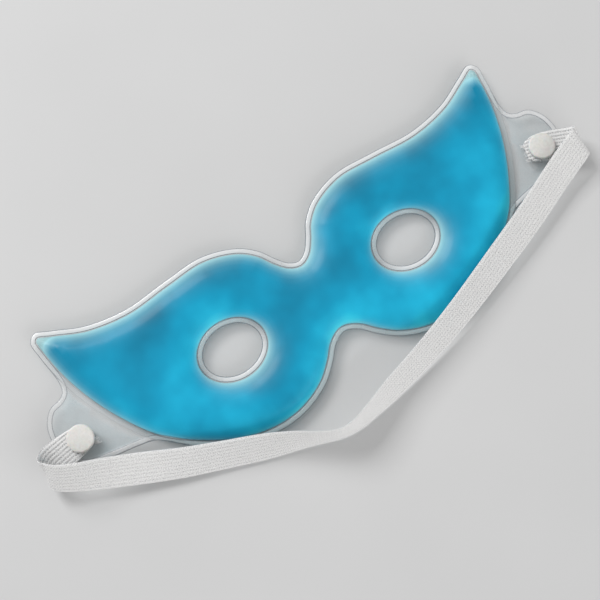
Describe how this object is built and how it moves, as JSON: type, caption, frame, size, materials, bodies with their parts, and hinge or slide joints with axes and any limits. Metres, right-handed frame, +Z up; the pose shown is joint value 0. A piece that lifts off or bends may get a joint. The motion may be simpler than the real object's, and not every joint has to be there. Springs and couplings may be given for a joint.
{
  "type": "gel eye mask",
  "caption": "Cooling gel eye mask with two eye holes and an elastic head strap held to each temple by a snap rivet.",
  "frame": {"origin": "On the flat underside of the gel pad at the nose bridge, midway between the eye holes, level with the surface the mask lies on.", "axes": "+X along the mask from one temple to the other, +Y towards the brow, +Z up, away from the face."},
  "size_m": [0.2447, 0.0982, 0.0139],
  "materials": {
    "clear_film": "clear soft vinyl film, glossy, welded at the edges",
    "blue_gel": null,
    "white_elastic": "woven white elastic with lengthwise ribs",
    "white_snap": "satin white plastic"
  },
  "bodies": {
    "mask": {"front_film": "clear_film", "back_film": "clear_film", "gel_fill": "blue_gel", "strap_left_end": "white_elastic", "strap_right_end": "white_elastic"},
    "strap": {"strap_loop": "white_elastic"},
    "left_snap": {"left_snap_cap": "white_snap", "left_snap_socket": "white_snap"},
    "right_snap": {"right_snap_cap": "white_snap", "right_snap_socket": "white_snap"}
  },
  "joints": [
    {"name": "strap_swing", "type": "hinge", "parent": "mask", "child": "strap", "pos_m": [0, 0.003, 0.00415], "axis": [-1, 0, 0], "range_deg": [0, 100]},
    {"name": "left_snap_turn", "type": "hinge", "parent": "mask", "child": "left_snap", "pos_m": [-0.1053, 0.003, 0.003], "axis": [0, 0, 1], "continuous": true},
    {"name": "right_snap_turn", "type": "hinge", "parent": "mask", "child": "right_snap", "pos_m": [0.1053, 0.003, 0.003], "axis": [0, 0, 1], "continuous": true}
  ]
}
